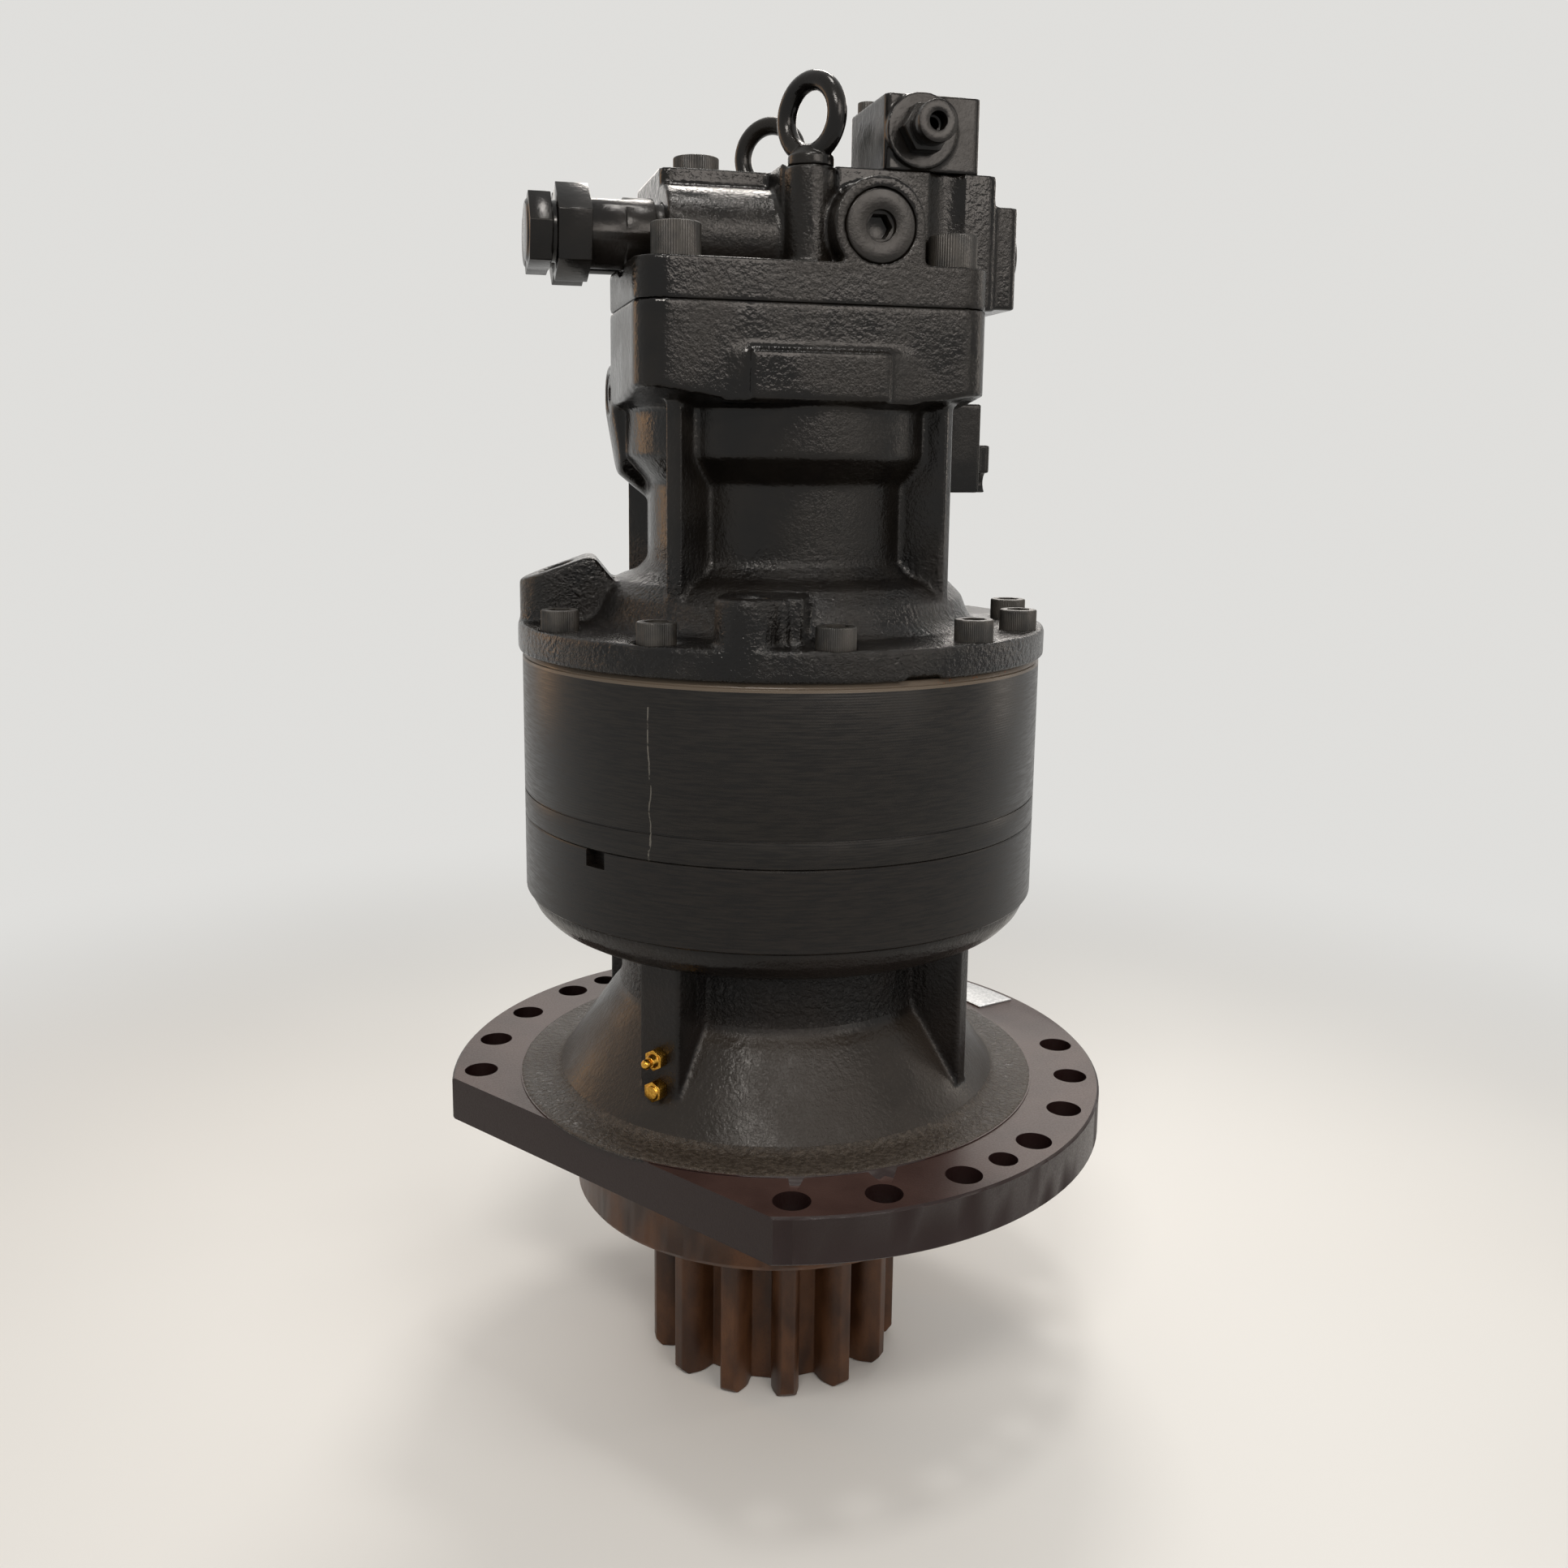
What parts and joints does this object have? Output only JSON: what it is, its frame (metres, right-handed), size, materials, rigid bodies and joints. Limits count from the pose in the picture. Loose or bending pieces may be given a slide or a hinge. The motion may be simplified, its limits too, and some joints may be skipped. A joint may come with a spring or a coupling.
{
  "type": "swing motor",
  "caption": "Hydraulic swing drive: axial piston motor with disc brake on a two stage planetary gearbox, with a round mounting flange and an output pinion.",
  "frame": {"origin": "on the gearbox axis, at the mounting flange's lower face", "axes": "+Z along the axis towards the motor, -Y towards the front of the gearbox as it is pictured, +X to the right of that view"},
  "size_m": [0.457, 0.4569, 0.8695],
  "materials": {
    "cast_iron_paint": "gloss paint on cast iron",
    "housing_paint": "satin paint on cast iron",
    "ring_gear_steel": "turned steel under thin satin black paint",
    "pinion_steel": "rolled steel under brown rust preventive",
    "gear_steel": "ground steel",
    "carrier_steel": "machined casting",
    "bearing_steel": "ground bearing steel",
    "bronze": "machined bronze",
    "brass": "zinc and yellow chromate",
    "label": "bare sheet",
    "seal_rubber": "moulded",
    "screw_black": "black oxide under gloss paint",
    "valve_paint": "gloss paint on steel",
    "spring_steel": "oiled spring wire",
    "friction": "sintered friction lining"
  },
  "bodies": {
    "root": {"output_housing": "housing_paint", "output_outer_races": "bearing_steel", "shaft_seal": "seal_rubber", "label_plate": "label", "grease_fittings": "brass", "ring_gear": "ring_gear_steel", "motor_casing": "cast_iron_paint", "casing_screws": "screw_black", "motor_outer_races": "bearing_steel", "motor_seal": "seal_rubber", "swash_plate": "gear_steel", "valve_plate": "bronze", "separator_plates": "gear_steel", "brake_springs": "spring_steel", "valve_cover": "cast_iron_paint", "cover_screws": "screw_black", "relief_valves": "valve_paint", "relief_caps": "valve_paint", "check_plugs": "valve_paint", "reversal_valve": "valve_paint", "reversal_plug": "valve_paint", "reversal_screws": "screw_black", "hose_fitting": "valve_paint", "eyebolts": "screw_black", "brake_valve": "valve_paint", "brake_valve_screws": "screw_black", "drain_plug": "valve_paint"},
    "rotor": {"motor_shaft": "gear_steel", "sun_1": "gear_steel", "motor_inner_races": "bearing_steel", "cylinder_block": "gear_steel", "pistons": "bearing_steel", "block_spring": "spring_steel", "spring_retainer": "spring_steel", "friction_discs": "friction"},
    "first_carrier": {"carrier_1": "carrier_steel", "planet_pins_1": "bearing_steel", "sun_2": "gear_steel", "thrust_pads": "bronze"},
    "output": {"pinion_shaft": "pinion_steel", "output_inner_races": "bearing_steel", "carrier_2": "carrier_steel", "planet_pins_2": "bearing_steel"},
    "output_roller_set": {"output_rollers": "bearing_steel"},
    "motor_roller_set": {"motor_rollers": "bearing_steel"},
    "shoe_group": {"piston_shoes": "bronze", "retainer_plate": "gear_steel"},
    "brake_piston_body": {"brake_piston": "gear_steel"},
    "relief_front": {"relief_poppet_front": "bearing_steel"},
    "relief_rear": {"relief_poppet_rear": "bearing_steel"},
    "check_front": {"check_poppet_front": "bearing_steel"},
    "check_side": {"check_poppet_side": "bearing_steel"},
    "spool": {"reversal_spool": "bearing_steel"},
    "planet_1a_body": {"planet_1a": "gear_steel"},
    "planet_1b_body": {"planet_1b": "gear_steel"},
    "planet_1c_body": {"planet_1c": "gear_steel"},
    "planet_2a_body": {"planet_2a": "gear_steel"},
    "planet_2b_body": {"planet_2b": "gear_steel"},
    "planet_2c_body": {"planet_2c": "gear_steel"}
  },
  "joints": [
    {"name": "motor_spin", "type": "hinge", "parent": "root", "child": "rotor", "pos_m": [0, 0, 0.4975], "axis": [0, 0, 1], "continuous": true, "deforming": ["pistons"]},
    {"name": "first_carrier_spin", "type": "hinge", "parent": "root", "child": "first_carrier", "pos_m": [0, 0, 0.3], "axis": [0, 0, 1], "continuous": true},
    {"name": "output_spin", "type": "hinge", "parent": "root", "child": "output", "pos_m": [0, 0, 0], "axis": [0, 0, 1], "continuous": true},
    {"name": "output_roller_spin", "type": "hinge", "parent": "root", "child": "output_roller_set", "pos_m": [0, 0, 0], "axis": [0, 0, 1], "continuous": true},
    {"name": "motor_roller_spin", "type": "hinge", "parent": "root", "child": "motor_roller_set", "pos_m": [0, 0, 0.375], "axis": [0, 0, 1], "continuous": true},
    {"name": "shoe_spin", "type": "hinge", "parent": "root", "child": "shoe_group", "pos_m": [0, 0, 0.42394], "axis": [0.0685, -0.267, 0.9613], "continuous": true},
    {"name": "planet_1a_spin", "type": "hinge", "parent": "first_carrier", "child": "planet_1a_body", "pos_m": [0.09, 0, 0.3], "axis": [0, 0, 1], "continuous": true},
    {"name": "planet_1b_spin", "type": "hinge", "parent": "first_carrier", "child": "planet_1b_body", "pos_m": [-0.045, 0.07794, 0.3], "axis": [0, 0, 1], "continuous": true},
    {"name": "planet_1c_spin", "type": "hinge", "parent": "first_carrier", "child": "planet_1c_body", "pos_m": [-0.045, -0.07794, 0.3], "axis": [0, 0, 1], "continuous": true},
    {"name": "planet_2a_spin", "type": "hinge", "parent": "output", "child": "planet_2a_body", "pos_m": [0.0975, 0, 0.245], "axis": [0, 0, 1], "continuous": true},
    {"name": "planet_2b_spin", "type": "hinge", "parent": "output", "child": "planet_2b_body", "pos_m": [-0.04875, 0.08444, 0.245], "axis": [0, 0, 1], "continuous": true},
    {"name": "planet_2c_spin", "type": "hinge", "parent": "output", "child": "planet_2c_body", "pos_m": [-0.04875, -0.08444, 0.245], "axis": [0, 0, 1], "continuous": true},
    {"name": "brake_release", "type": "slide", "parent": "root", "child": "brake_piston_body", "axis": [0, 0, 1], "range_m": [0, 0.0015], "stiffness_N_per_m": 60000, "springref_m": -0.004, "deforming": ["brake_springs"]},
    {"name": "relief_front_lift", "type": "slide", "parent": "root", "child": "relief_front", "axis": [-0.9686, -0.2487, 0], "range_m": [0, 0.003], "stiffness_N_per_m": 3000, "springref_m": -0.002},
    {"name": "relief_rear_lift", "type": "slide", "parent": "root", "child": "relief_rear", "axis": [-0.9686, -0.2487, 0], "range_m": [0, 0.003], "stiffness_N_per_m": 3000, "springref_m": -0.002},
    {"name": "check_front_lift", "type": "slide", "parent": "root", "child": "check_front", "axis": [0.2487, -0.9686, 0], "range_m": [0, 0.006], "stiffness_N_per_m": 500, "springref_m": -0.004},
    {"name": "check_side_lift", "type": "slide", "parent": "root", "child": "check_side", "axis": [0.9686, 0.2487, 0], "range_m": [0, 0.006], "stiffness_N_per_m": 500, "springref_m": -0.004},
    {"name": "spool_shift", "type": "slide", "parent": "root", "child": "spool", "axis": [0.9686, 0.2487, 0], "range_m": [-0.002, 0.002]}
  ],
  "couplings": [
    {"joint": "first_carrier_spin", "follows": "motor_spin", "ratio": 0.20833},
    {"joint": "output_spin", "follows": "motor_spin", "ratio": 0.05609},
    {"joint": "output_roller_spin", "follows": "motor_spin", "ratio": 0.024359},
    {"joint": "motor_roller_spin", "follows": "motor_spin", "ratio": 0.43},
    {"joint": "shoe_spin", "follows": "motor_spin", "ratio": 1},
    {"joint": "planet_1a_spin", "follows": "motor_spin", "ratio": -0.56548},
    {"joint": "planet_1b_spin", "follows": "motor_spin", "ratio": -0.56548},
    {"joint": "planet_1c_spin", "follows": "motor_spin", "ratio": -0.56548},
    {"joint": "planet_2a_spin", "follows": "motor_spin", "ratio": -0.17762},
    {"joint": "planet_2b_spin", "follows": "motor_spin", "ratio": -0.17762},
    {"joint": "planet_2c_spin", "follows": "motor_spin", "ratio": -0.17762}
  ]
}
